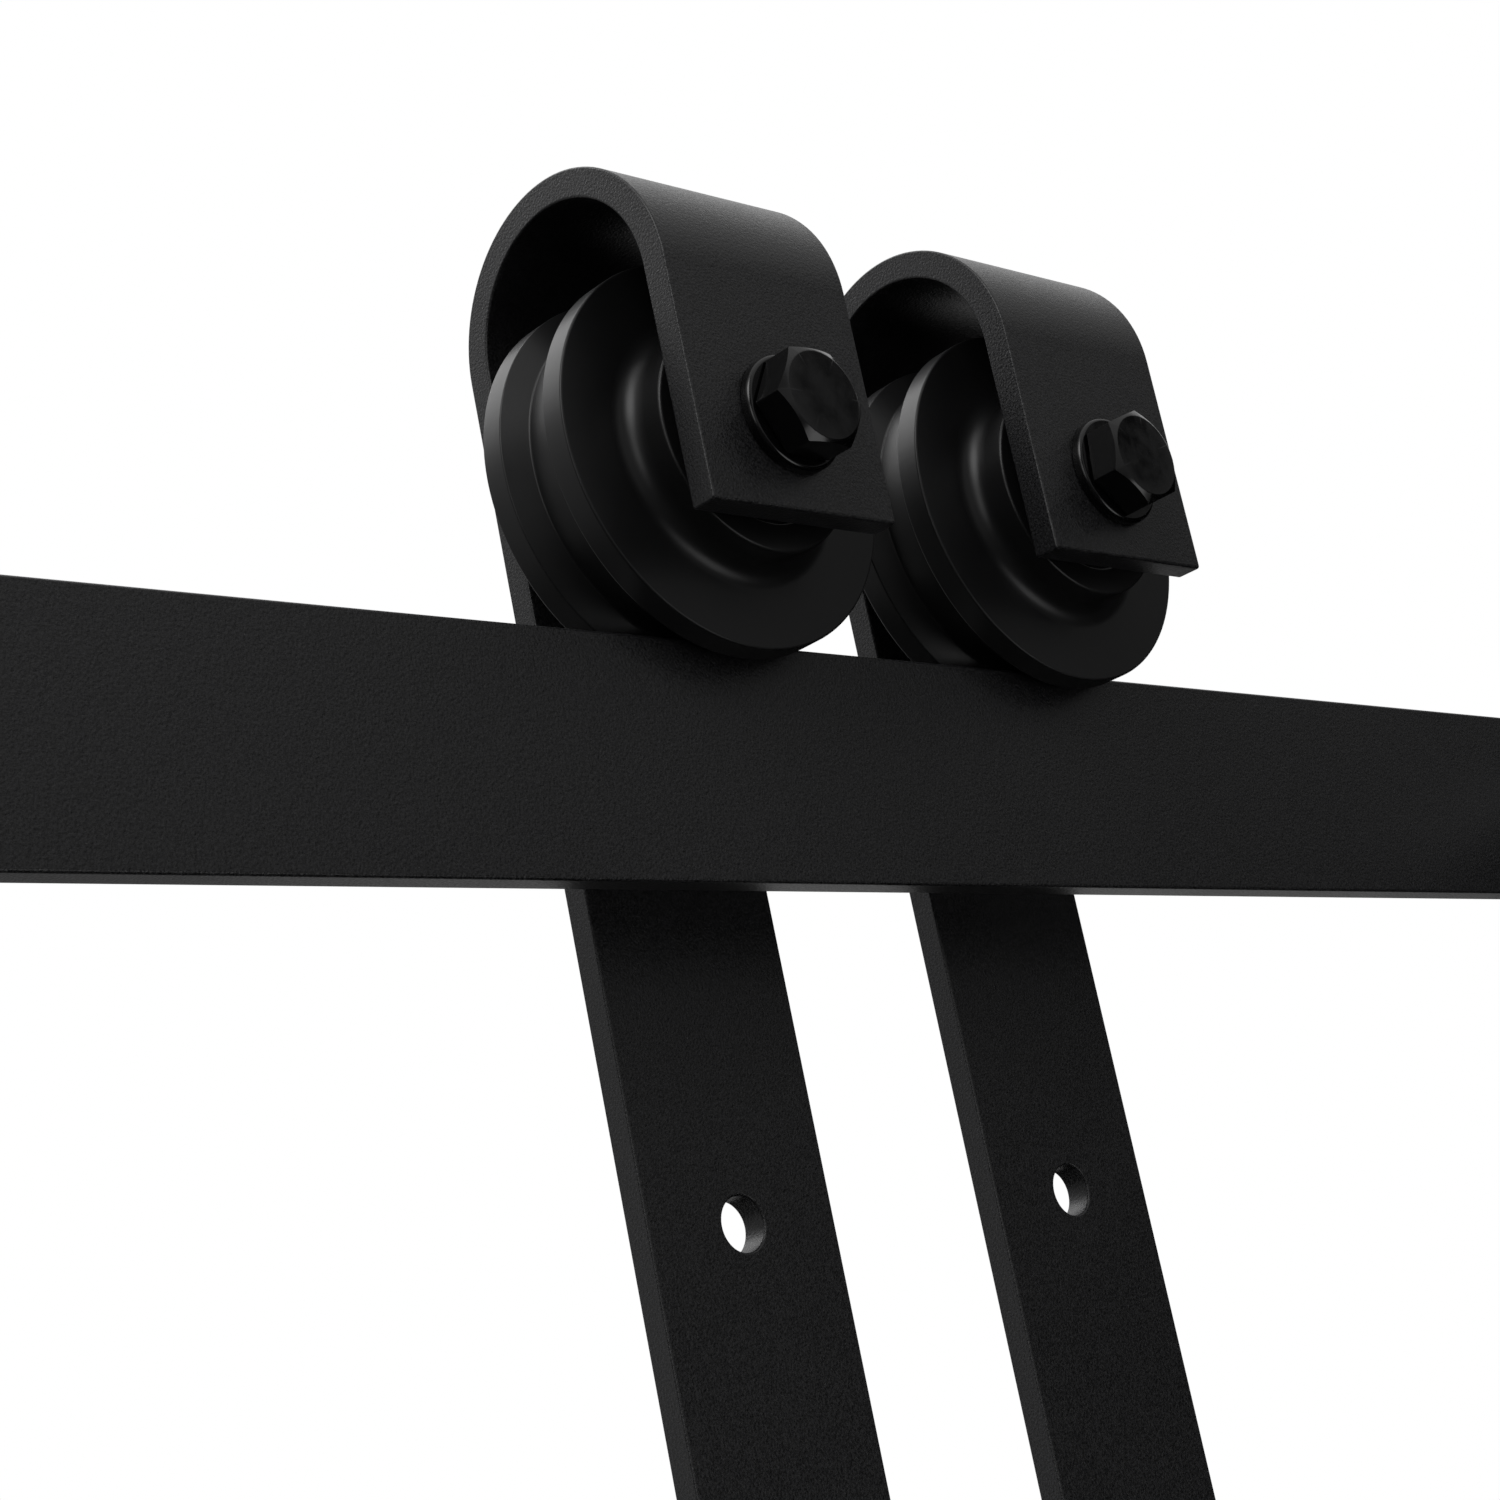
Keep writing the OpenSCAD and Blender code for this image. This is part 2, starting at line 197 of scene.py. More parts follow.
def rounded(points, radius, steps=4):
    """A closed outline with each corner turned into an arc, which takes up to half of the sides
    beside it. A point's third number, if it has one, is its own radius; 0 keeps the corner, and
    so does an outline that is all but straight there."""
    outline = []
    for i, point in enumerate(points):
        corner = Vector(point[:2])
        before = Vector(points[i - 1][:2]) - corner
        after = Vector(points[(i + 1) % len(points)][:2]) - corner
        wanted = point[2] if len(point) > 2 else radius
        half = before.angle(after) / 2
        if wanted <= 0 or half > radians(88):
            outline.append(tuple(corner))
            continue
        reach = min(wanted / tan(half), 0.49 * before.length, 0.49 * after.length)
        r = reach * tan(half)
        centre = corner + (before.normalized() + after.normalized()).normalized() * (r / sin(half))
        start = corner + before.normalized() * reach - centre
        end = corner + after.normalized() * reach - centre
        swing = start.angle_signed(end)
        for k in range(steps + 1):
            turned = start.copy()
            turned.rotate(Matrix.Rotation(-swing * k / steps, 2))
            outline.append(tuple(centre + turned))
    return outline


def ring_outline(inner_r, outer_r, start, end, edge):
    """Section of a washer or tube as (radius, distance) pairs."""
    return rounded([(inner_r, start), (outer_r, start), (outer_r, end), (inner_r, end)], edge)


def hexagon(af, corner=0.35, along=6):
    """Outline of a hexagon with slightly rounded corners and extra points along its sides."""
    r = af / sqrt(3)
    corners = [(r * cos(radians(60 * k)), r * sin(radians(60 * k))) for k in range(6)]
    sides = []
    soft = rounded(corners, corner, 3)
    for i, point in enumerate(soft):
        start, end = Vector(point), Vector(soft[(i + 1) % len(soft)])
        pieces = along if (end - start).length > corner else 1
        sides += [tuple(start.lerp(end, k / pieces)) for k in range(pieces)]
    return sides


# ---- Mesh building ----

def bridge(bm, ring_a, ring_b):
    """Quads between two rings of equal length, or a fan where one of them is a single point."""
    if len(ring_a) == 1 and len(ring_b) == 1:
        return
    if len(ring_a) == 1 or len(ring_b) == 1:
        tip, ring = (ring_a[0], ring_b) if len(ring_a) == 1 else (ring_b[0], ring_a)
        for i, vert in enumerate(ring):
            bm.faces.new((tip, vert, ring[(i + 1) % len(ring)]))
        return
    for i in range(len(ring_a)):
        j = (i + 1) % len(ring_a)
        bm.faces.new((ring_a[i], ring_a[j], ring_b[j], ring_b[i]))


def lathe(outline, steps=128, closed=True):
    """A (radius, distance) outline turned about the Y axis. An open one starts and ends on it."""
    bm = bmesh.new()
    rings = []
    for r, h in outline:
        if r < 1e-6:
            rings.append([bm.verts.new((0, h * MM, 0))])
            continue
        angles = [2 * pi * k / steps for k in range(steps)]
        rings.append([bm.verts.new((r * cos(a) * MM, h * MM, r * sin(a) * MM)) for a in angles])
    for i in range(len(rings) if closed else len(rings) - 1):
        bridge(bm, rings[i], rings[(i + 1) % len(rings)])
    return bm


def rod(r, start, end, steps):
    """A plain solid cylinder about Y."""
    return lathe([(0, start), (r, start), (r, end), (0, end)], steps, closed=False)


def prism(outline, x0, x1):
    """A closed outline of (y, z) stretched from x0 to x1."""
    bm = bmesh.new()
    ends = [[bm.verts.new((x * MM, y * MM, z * MM)) for y, z in outline] for x in (x0, x1)]
    bridge(bm, *ends)
    bm.faces.new(ends[0])
    bm.faces.new(ends[1])
    return bm


def hex_solid(af, height, bore_r=0.0, chamfer_both=False):
    """A hexagonal head or nut standing on y = 0, with its corners turned off at 30 degrees."""
    outline = hexagon(af)
    face_r = 0.94 * af / 2
    slope = tan(radians(30))
    crown = 0.12         # softens the face's rim
    crease = 0.02, 0.3   # two rings below the chamfer, which keep its edge crisp
    foot = 0.05, 0.35    # the same above a plain foot
    sink_depth, sink_width = 0.4, 0.5
    inner = bore_r + sink_width if bore_r else 0.55 * face_r
    bm = bmesh.new()

    def ring(ring_r, y_of):
        """The outline drawn in to a circle, or as it is for 0, at a height that follows radius."""
        made = []
        for x, z in outline:
            r = sqrt(x * x + z * z)
            share = ring_r / r if ring_r else 1.0
            made.append(bm.verts.new((x * share * MM, y_of(r) * MM, z * share * MM)))
        return made

    rings = [
        ring(inner, lambda r: height),
        ring(face_r - crown, lambda r: height),
        ring(face_r + crown, lambda r: height - crown * slope),
        ring(0, lambda r: height - (r - face_r) * slope - crease[0]),
        ring(0, lambda r: height - (r - face_r) * slope - crease[1]),
    ]
    if chamfer_both:
        rings += [
            ring(0, lambda r: (r - face_r) * slope + crease[1]),
            ring(0, lambda r: (r - face_r) * slope + crease[0]),
            ring(face_r + crown, lambda r: crown * slope),
            ring(face_r - crown, lambda r: 0),
        ]
    else:
        rings += [ring(0, lambda r: foot[1]), ring(0, lambda r: foot[0]), ring(face_r, lambda r: 0)]
    if bore_r:
        rings += [
            ring(inner, lambda r: 0),
            ring(bore_r, lambda r: sink_depth),
            ring(bore_r, lambda r: height - sink_depth),
        ]
    else:
        rings.insert(0, [bm.verts.new((0, height * MM, 0))])
        rings.append([bm.verts.new((0, 0, 0))])
    for a, b in zip(rings, rings[1:] + (rings[:1] if bore_r else [])):
        bridge(bm, a, b)
    return bm


def threaded(start, end, outer_r, root_r, pitch, width, fade_in, point=0.0, steps=48, per_turn=14):
    """A screw thread about Y from start to end. width is the ridge's share of the pitch, fade_in
    the length over which it rises, and point the length of the cone at the end."""
    flank = 0.8    # below 1, the ridge's flanks bulge a little
    blunt_r = 0.05
    bm = bmesh.new()
    length = abs(end - start)
    way = 1 if end > start else -1
    count = ceil(length / pitch * per_turn)
    rings = []
    for j in range(count + 1):
        along = length * j / count
        left = length - along
        taper = min(1.0, left / point) if point else 1.0
        rise = min(1.0, along / fade_in)
        ring = []
        for k in range(steps):
            turn = (along / pitch - k / steps) % 1.0
            ridge = max(0.0, 1 - abs(turn - 0.5) / (width / 2)) ** flank
            base = root_r + (outer_r - root_r) * (1 - rise)
            r = max(blunt_r, (base + (outer_r - base) * ridge) * taper)
            a = 2 * pi * k / steps
            ring.append(bm.verts.new((r * cos(a) * MM, (start + way * along) * MM, r * sin(a) * MM)))
        rings.append(ring)
    for a, b in zip(rings, rings[1:]):
        bridge(bm, a, b)
    bm.faces.new(rings[0])
    bm.faces.new(rings[-1])
    return bm


def joined(*parts):
    """One mesh of several (mesh, matrix) pairs."""
    whole = bmesh.new()
    for bm, matrix in parts:
        bm.transform(matrix)
        mesh = bpy.data.meshes.new("part")
        bm.to_mesh(mesh)
        whole.from_mesh(mesh)
        bpy.data.meshes.remove(mesh)
        bm.free()
    return whole


def shifted(x=0.0, y=0.0, z=0.0):
    """Matrix that moves a mesh by millimetres."""
    return Matrix.Translation(Vector((x, y, z)) * MM)


def turned_to_wall():
    """Matrix that makes what stands on +Y stand on -Y."""
    return Matrix.Rotation(pi, 4, "X")


# ---- Objects ----

def as_object(bm, name):
    """Turns a mesh under construction into an object of the scene."""
    bmesh.ops.remove_doubles(bm, verts=bm.verts, dist=1e-7)
    bmesh.ops.recalc_face_normals(bm, faces=bm.faces)
    mesh = bpy.data.meshes.new(name)
    bm.to_mesh(mesh)
    bm.free()
    obj = bpy.data.objects.new(name, mesh)
    bpy.context.scene.collection.objects.link(obj)
    return obj


def apply_modifiers(obj):
    """Replaces the object's mesh by what its modifiers make of it."""
    made = bpy.data.meshes.new_from_object(obj.evaluated_get(bpy.context.evaluated_depsgraph_get()))
    obj.modifiers.clear()
    obj.data = made


def bevel(obj, width):
    """Rounds the sharp edges."""
    modifier = obj.modifiers.new("edges", "BEVEL")
    modifier.width = width * MM
    modifier.segments = BEVEL_STEPS
    modifier.limit_method = "ANGLE"
    modifier.angle_limit = radians(BEVEL_ANGLE)
    apply_modifiers(obj)


def drill(obj, r, start, end, x, z, edge=HOLE_EDGE):
    """Cuts a hole of radius r along Y, from face to face, with eased rims."""
    past = 2                                              # the cutter stands out of the bar
    wide_r = r + 1.5 * edge
    turn = [radians(15 + 75 * k / 4) for k in range(5)]   # the rim's arc meets the face at 15 degrees
    near = [(r + edge * (1 - sin(a)), start + edge * (1 - cos(a))) for a in turn]
    far = [(radius, start + end - h) for radius, h in reversed(near)]
    bm = lathe([
        (0, start - past), (wide_r, start - past), *near, *far, (wide_r, end + past), (0, end + past)
    ], 64, closed=False)
    bm.transform(shifted(x, 0, z))
    cutter = as_object(bm, "cutter")
    modifier = obj.modifiers.new("hole", "BOOLEAN")
    modifier.operation = "DIFFERENCE"
    modifier.solver = "EXACT"
    modifier.object = cutter
    apply_modifiers(obj)
    bpy.data.objects.remove(cutter)


# ---- Materials ----

def new_material(name, colour, roughness, metallic=0.0):
    """A Principled material, with its node tree and shader. Links may override the values."""
    material = bpy.data.materials.new(name)
    material.use_nodes = True
    tree = material.node_tree
    shader = tree.nodes["Principled BSDF"]
    shader.inputs["Base Color"].default_value = (*colour, 1)
    shader.inputs["Roughness"].default_value = roughness
    shader.inputs["Metallic"].default_value = metallic
    return material, tree, shader


def noise(tree, scale, detail):
    """Noise over the object's own metres. Returns its value."""
    place = tree.nodes.new("ShaderNodeTexCoord")
    texture = tree.nodes.new("ShaderNodeTexNoise")
    texture.inputs["Scale"].default_value = scale
    texture.inputs["Detail"].default_value = detail
    tree.links.new(place.outputs["Object"], texture.inputs["Vector"])
    return texture.outputs["Fac"]


def spread(tree, value, low, high, start=0.3, end=0.7):
    """Maps a value from start..end to low..high."""
    node = tree.nodes.new("ShaderNodeMapRange")
    node.inputs["From Min"].default_value = start
    node.inputs["From Max"].default_value = end
    node.inputs["To Min"].default_value = low
    node.inputs["To Max"].default_value = high
    tree.links.new(value, node.inputs["Value"])
    return node.outputs["Result"]


def mix_colours(tree, factor, low, high):
    """Goes from low to high, each a colour or a socket."""
    node = tree.nodes.new("ShaderNodeMix")
    node.data_type = "RGBA"
    into = [socket for socket in node.inputs if socket.type == "RGBA"]
    for socket, colour in zip(into, (low, high)):
        if isinstance(colour, tuple):
            socket.default_value = (*colour, 1)
        else:
            tree.links.new(colour, socket)
    tree.links.new(factor, node.inputs[0])
    return next(socket for socket in node.outputs if socket.type == "RGBA")


def mix_numbers(tree, share, first, second):
    """Weighted mean of two values; share is the second's part."""
    node = tree.nodes.new("ShaderNodeMix")
    node.inputs[0].default_value = share
    tree.links.new(first, node.inputs[2])
    tree.links.new(second, node.inputs[3])
    return node.outputs[0]


def set_roughness(tree, shader, value):
    tree.links.new(value, shader.inputs["Roughness"])


def add_bump(tree, shader, value, depth):
    """Raises the surface by a value; depth is in metres."""
    node = tree.nodes.new("ShaderNodeBump")
    node.inputs["Strength"].default_value = 1.0
    node.inputs["Distance"].default_value = depth
    tree.links.new(value, node.inputs["Height"])
    tree.links.new(node.outputs["Normal"], shader.inputs["Normal"])


def powder_coat():
    """Fine-textured matt black powder coat: a tight orange peel with scattered lighter grains."""
    material, tree, shader = new_material("powder_coat", (0.010, 0.010, 0.011), 0.44)
    cloud = noise(tree, 45, 3)
    grain = noise(tree, 2600, 1)
    specks = spread(tree, noise(tree, 2400, 0), 0, 1, 0.86, 0.90)
    dark, light, speck = (0.004, 0.004, 0.0044), (0.017, 0.017, 0.018), (0.06, 0.06, 0.06)
    coat = mix_colours(tree, spread(tree, grain, 0, 1, 0.35, 0.70), dark, light)
    tree.links.new(mix_colours(tree, specks, coat, speck), shader.inputs["Base Color"])
    clouded, grained = spread(tree, cloud, 0.32, 0.41), spread(tree, grain, 0.26, 0.50)
    set_roughness(tree, shader, mix_numbers(tree, 0.6, clouded, grained))
    add_bump(tree, shader, noise(tree, 2200, 2), 0.00009)
    return material


def turned_nylon():
    """Satin black nylon with very fine turning marks."""
    material, tree, shader = new_material("turned_nylon", (0.006, 0.006, 0.0063), 0.36)
    shader.inputs["Specular IOR Level"].default_value = 0.36
    set_roughness(tree, shader, spread(tree, noise(tree, 90, 2), 0.33, 0.39))
    add_bump(tree, shader, noise(tree, 700, 2), 0.00001)
    return material


def black_fastener():
    """Glossy black oxide steel."""
    material, tree, shader = new_material("black_fastener", (0.002, 0.002, 0.0022), 0.16)
    shader.inputs["Specular IOR Level"].default_value = 0.45
    set_roughness(tree, shader, spread(tree, noise(tree, 350, 3), 0.12, 0.24))
    add_bump(tree, shader, noise(tree, 260, 3), 0.00002)
    return material


def moulded_rubber():
    """Matt black rubber."""
    material, tree, shader = new_material("moulded_rubber", (0.016, 0.016, 0.016), 0.75)
    set_roughness(tree, shader, spread(tree, noise(tree, 300, 3), 0.68, 0.82))
    add_bump(tree, shader, noise(tree, 1200, 3), 0.00006)
    return material


def plated_steel():
    """Zinc-plated pressed steel."""
    material, tree, shader = new_material("plated_steel", (0.50, 0.51, 0.53), 0.32, 1.0)
    set_roughness(tree, shader, spread(tree, noise(tree, 400, 3), 0.26, 0.42))
    add_bump(tree, shader, noise(tree, 900, 2), 0.00001)
    return material


def bearing_steel():
    """Ground bearing steel."""
    material, tree, shader = new_material("bearing_steel", (0.60, 0.61, 0.62), 0.18, 1.0)
    set_roughness(tree, shader, spread(tree, noise(tree, 600, 2), 0.14, 0.24))
    add_bump(tree, shader, noise(tree, 2500, 1), 0.000003)
    return material


def natural_nylon():
    """Milky nylon of a lock nut's ring."""
    material, tree, shader = new_material("natural_nylon", (0.38, 0.38, 0.35), 0.45)
    set_roughness(tree, shader, spread(tree, noise(tree, 500, 2), 0.40, 0.52))
    add_bump(tree, shader, noise(tree, 900, 2), 0.00002)
    return material


# The material of each of the record's material slots
MATERIALS = {
    "powder_coat": powder_coat(), "wheel_nylon": turned_nylon(), "black_fastener": black_fastener(),
    "rubber": moulded_rubber(), "plated_steel": plated_steel(), "bearing_steel": bearing_steel(),
    "insert_nylon": natural_nylon(),
}


# ---- Placing ----

def in_mm(node):
    """A node's box as lowest and highest corner and middle, in millimetres."""
    lo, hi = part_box(node)
    return lo / MM, hi / MM, (lo + hi) / 2 / MM


def finish_piece(obj, body, slot, *nodes):
    """Smooths, paints and hangs a finished piece on its body in place of its CAD nodes."""
    obj.data.materials.clear()
    obj.data.materials.append(MATERIALS[slot])
    obj.data.shade_smooth()
    obj.data.set_sharp_from_angle(angle=radians(SMOOTH_BELOW))
    normals = obj.modifiers.new("normals", "WEIGHTED_NORMAL")
    normals.keep_sharp = True
    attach(obj, body)
    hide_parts(*nodes)


def place_piece(bm, name, body, slot, *nodes):
    """Turns a mesh into a finished piece."""
    finish_piece(as_object(bm, name), body, slot, *nodes)


# ---- Rail and wall fixings ----

rail_lo, rail_hi, _ = in_mm("rail")


def fixing_places():
    """X of each wall fixing, from the spacers' boxes."""
    return [in_mm(f"{name}_spacer")[2].x for name in FIXINGS]


def make_rail():
    outline = rounded([
        (rail_lo.y, rail_lo.z), (rail_hi.y, rail_lo.z), (rail_hi.y, rail_hi.z), (rail_lo.y, rail_hi.z)
    ], BAR_EDGE)
    obj = as_object(prism(outline, rail_lo.x, rail_hi.x), "rail_bar")
    bevel(obj, RAIL_END_EDGE)
    for x in fixing_places():
        drill(obj, FIXING_HOLE_R, rail_lo.y, rail_hi.y, x, 0)
    finish_piece(obj, "track", "powder_coat", "rail")


def make_spacers():
    for name in FIXINGS:
        lo, hi, mid = in_mm(f"{name}_spacer")
        bm = lathe(ring_outline(SPACER_BORE_R, hi.z - mid.z, lo.y, hi.y, SPACER_EDGE), 96)
        bm.transform(shifted(mid.x, 0, mid.z))
        place_piece(bm, f"{name}_standoff", "track", "powder_coat", f"{name}_spacer")


def make_lag_bolts():
    """Each bolt: chamfered head, plain shank in the spacer, coarse thread and point in the wall.
    The shank's ends are sunk in the thread and the head."""
    lo, hi, _ = in_mm("lag_bolts")
    head_y = hi.y - LAG_HEAD_HEIGHT
    parts = []
    for x in fixing_places():
        head = hex_solid(LAG_HEAD_AF, LAG_HEAD_HEIGHT)
        shank = rod(LAG_SHANK_R, -2 * SUNK, head_y + SUNK, 48)
        thread = threaded(0, lo.y, LAG_THREAD_R, LAG_ROOT_R, LAG_PITCH, 0.42, 5.0, LAG_POINT)
        parts += [(head, shifted(x, head_y)), (shank, shifted(x)), (thread, shifted(x))]
    place_piece(joined(*parts), "lag_bolt_set", "track", "black_fastener", "lag_bolts")


def make_lag_washers():
    lo, hi, _ = in_mm("lag_washers")
    outline = ring_outline(FIXING_HOLE_R, (hi.z - lo.z) / 2, lo.y, hi.y, SMALL_EDGE)
    parts = [(lathe(outline, 96), shifted(x)) for x in fixing_places()]
    place_piece(joined(*parts), "lag_washer_set", "track", "black_fastener", "lag_washers")


# ---- End stops ----

def make_stops():
    """The clamped blocks with their bumpers, and all set screws as one piece."""
    slot_top = rail_hi.z + SLOT_PLAY
    slot_half = (rail_hi.y - rail_lo.y) / 2 + SLOT_PLAY
    screw_lo, screw_hi, screw_mid = in_mm("stop_screws")
    screws = []
    for end in ENDS:
        lo, hi, mid = in_mm(f"{end}_stop_block")
        outline = rounded([
            (lo.y, lo.z), (mid.y - slot_half, lo.z), (mid.y - slot_half, slot_top, SLOT_EDGE),
            (mid.y + slot_half, slot_top, SLOT_EDGE), (mid.y + slot_half, lo.z), (hi.y, lo.z),
            (hi.y, hi.z, BLOCK_TOP_R), (lo.y, hi.z, BLOCK_TOP_R)
        ], BLOCK_EDGE, 6)
        obj = as_object(prism(outline, lo.x, hi.x), f"{end}_stop")
        bevel(obj, BLOCK_END_EDGE)
        for x in (mid.x - SCREW_OFFSET, mid.x + SCREW_OFFSET):
            drill(obj, SCREW_HOLE_R, screw_lo.y, hi.y, x, screw_mid.z, SCREW_HOLE_EDGE)
            screws.append((set_screw(screw_lo.y, screw_hi.y), shifted(x, 0, screw_mid.z)))
        finish_piece(obj, "track", "powder_coat", f"{end}_stop_block")
        make_bumper(end)
    place_piece(joined(*screws), "stop_screw_set", "track", "black_fastener", "stop_screws")


def set_screw(start, end):
    """A grub screw with a hexagon socket at its end."""
    bm = bmesh.new()
    outline = hexagon(SOCKET_AF, 0.1, 2)
    angles = [atan2(z, x) for x, z in outline]

    def circle(r, y):
        return [bm.verts.new((r * cos(a) * MM, y * MM, r * sin(a) * MM)) for a in angles]

    def socket(y):
        return [bm.verts.new((x * MM, y * MM, z * MM)) for x, z in outline]

    mouth, bottom = socket(end), socket(end - SOCKET_DEPTH)
    rings = [
        circle(SCREW_POINT_R, start), circle(SCREW_R, start + SCREW_POINT),
        circle(SCREW_R, end - SCREW_RIM), circle(SCREW_RIM_R, end), mouth, bottom,
    ]
    for a, b in zip(rings, rings[1:]):
        bridge(bm, a, b)
    bm.faces.new(rings[0])
    bm.faces.new(bottom)
    return bm


def make_bumper(end):
    """A moulded rubber buffer with a domed face, pushed into the block by its stem."""
    lo, hi, mid = in_mm(f"{end}_stop_bumper")
    r = (hi.z - lo.z) / 2
    block_lo, block_hi, _ = in_mm(f"{end}_stop_block")
    if end == "right":
        face, seat, stem_end, way = lo.x, block_lo.x, hi.x, 1
    else:
        face, seat, stem_end, way = hi.x, block_hi.x, lo.x, -1
    deep = abs(face - seat)
    length = abs(stem_end - face)
    outline = [(share * r, h) for share, h in BUMPER_DOME]
    outline += [(r, deep), (STEM_R, deep), (STEM_R, length - STEM_CHAMFER)]
    outline += [(STEM_R - STEM_CHAMFER, length), (0, length)]
    bm = lathe(outline, 72, closed=False)
    bm.transform(shifted(face, mid.y, mid.z) @ Matrix.Rotation(-way * pi / 2, 4, "Z"))
    place_piece(bm, f"{end}_buffer", "track", "rubber", f"{end}_stop_bumper")


# ---- Hangers ----

def strap_outline(lo, hi):
    """Section of the strap in Y and Z: bend over the wheel, long leg and short leg."""
    mid_y = (lo.y + hi.y) / 2
    outer_r = (hi.y - lo.y) / 2
    inner_r = outer_r - STRAP_THICKNESS
    bend_z = hi.z - outer_r
    short_z = rail_hi.z + SHORT_LEG_RISE
    turn = [pi * k / BEND_STEPS for k in range(BEND_STEPS + 1)]
    outer = [(mid_y - outer_r * cos(a), bend_z + outer_r * sin(a), 0) for a in turn]
    inner = [(mid_y + inner_r * cos(a), bend_z + inner_r * sin(a), 0) for a in turn]
    long_end = [(hi.y, lo.z), (hi.y - STRAP_THICKNESS, lo.z)]
    short_end = [(lo.y + STRAP_THICKNESS, short_z), (lo.y, short_z)]
    return rounded(outer + long_end + inner + short_end, BAR_EDGE)


def make_strap(side):
    """The bent strap with two axle holes and the door bolts' holes."""
    lo, hi, mid = in_mm(f"{side}_strap")
    axle = in_mm(f"{side}_wheel")[2]
    obj = as_object(prism(strap_outline(lo, hi), lo.x, hi.x), f"{side}_hanger_strap")
    bevel(obj, STRAP_EDGE)
    for start in (lo.y, hi.y - STRAP_THICKNESS):
        drill(obj, AXLE_HOLE_R, start, start + STRAP_THICKNESS, mid.x, axle.z)
    for drop in DOOR_HOLE_DROPS:
        drill(obj, DOOR_HOLE_R, hi.y - STRAP_THICKNESS, hi.y, mid.x, rail_hi.z - drop)
    finish_piece(obj, f"{side}_hanger", "powder_coat", f"{side}_strap")


def make_axle_bolt(side):
    """Forged hexagon head with a washer face, plain shank and a threaded end past the nut."""
    lo, hi, mid = in_mm(f"{side}_axle_bolt")
    axle = in_mm(f"{side}_wheel")[2]
    head_y = lo.y + HEAD_HEIGHT
    thread_y = hi.y - THREAD_LENGTH
    tip_y = hi.y - TIP_LENGTH
    head = hex_solid(HEAD_AF, HEAD_HEIGHT - WASHER_FACE)
    face = rod(WASHER_FACE_R, 0, WASHER_FACE, 64)
    shank = rod(SHANK_R, -SUNK, thread_y - head_y, 64)
    thread = threaded(thread_y, tip_y, SHANK_R, THREAD_ROOT_R, THREAD_PITCH, 0.95, 2.0, per_turn=10)
    tip_base = (TIP_BASE_R, tip_y - 0.05)
    tip = lathe([(0, tip_base[1]), tip_base, (THREAD_ROOT_R, hi.y), (0, hi.y)], 48, closed=False)
    to_head = shifted(mid.x, head_y, axle.z)
    to_axle = shifted(mid.x, 0, axle.z)
    head_turn = Matrix.Rotation(radians(-HEAD_TURNS[side]), 4, "Y")
    parts = [
        (head, to_head @ head_turn @ turned_to_wall() @ shifted(0, WASHER_FACE)),
        (face, to_head @ turned_to_wall()), (shank, to_head), (thread, to_axle), (tip, to_axle),
    ]
    place_piece(joined(*parts), f"{side}_hex_bolt", f"{side}_hanger", "black_fastener",
                f"{side}_axle_bolt")


def make_axle_washers(side):
    """Stamped washers: the outer edge is rolled on the side away from the strap."""
    lo, hi, mid = in_mm(f"{side}_axle_washers")
    outer_r = (hi.z - lo.z) / 2
    room_side = lathe(rounded([
        (AXLE_HOLE_R, 0), (outer_r, 0), (outer_r, WASHER_THICKNESS, WASHER_ROLL),
        (AXLE_HOLE_R, WASHER_THICKNESS)
    ], WASHER_EDGE, 8), 96)
    wall_side = room_side.copy()
    parts = [
        (wall_side, shifted(mid.x, lo.y + WASHER_THICKNESS, mid.z) @ turned_to_wall()),
        (room_side, shifted(mid.x, hi.y - WASHER_THICKNESS, mid.z)),
    ]
    place_piece(joined(*parts), f"{side}_flat_washers", f"{side}_hanger", "black_fastener",
                f"{side}_axle_washers")


def make_lock_nut(side):
    """A hexagon nut whose round collar is rolled over the nylon locking ring."""
    lo, hi, mid = in_mm(f"{side}_lock_nut")
    insert_lo, insert_hi, _ = in_mm(f"{side}_nut_insert")
    height = hi.y - lo.y
    collar_y = NUT_HEX_HEIGHT - NUT_COLLAR_SUNK
    collar = lathe(rounded([
        (NUT_BORE_R, collar_y), (NUT_COLLAR_R, collar_y), (NUT_COLLAR_R, height, NUT_COLLAR_ROLL),
        (INSERT_R, height), (INSERT_R, insert_lo.y - lo.y), (NUT_BORE_R, insert_lo.y - lo.y)
    ], NUT_EDGE), 72)
    nut = hex_solid(HEAD_AF, NUT_HEX_HEIGHT, bore_r=NUT_BORE_R, chamfer_both=True)
    at = shifted(mid.x, lo.y, mid.z)
    place_piece(joined((nut, at), (collar, at)), f"{side}_hex_lock_nut", f"{side}_hanger",
                "black_fastener", f"{side}_lock_nut")
    ring_length = insert_hi.y - insert_lo.y
    ring = lathe(ring_outline(NUT_BORE_R, INSERT_R - INSERT_PLAY, 0, ring_length, INSERT_EDGE), 64)
    ring.transform(shifted(mid.x, insert_lo.y, mid.z))
    place_piece(ring, f"{side}_lock_ring", f"{side}_hanger", "insert_nylon", f"{side}_nut_insert")


def make_collars(side):
    """The two tubes that keep the bearings off the strap's legs."""
    lo, hi, mid = in_mm(f"{side}_axle_collars")
    length = LEG_GAP / 2 - BEARING_INSIDE - BEARING_WIDTH
    outline = ring_outline(COLLAR_BORE_R, (hi.z - lo.z) / 2, 0, length, SMALL_EDGE)
    parts = [(lathe(outline, 72), shifted(mid.x, y, mid.z)) for y in (lo.y, hi.y - length)]
    place_piece(joined(*parts), f"{side}_end_collars", f"{side}_hanger", "plated_steel",
                f"{side}_axle_collars")


# ---- Wheels and what shows of their bearings ----

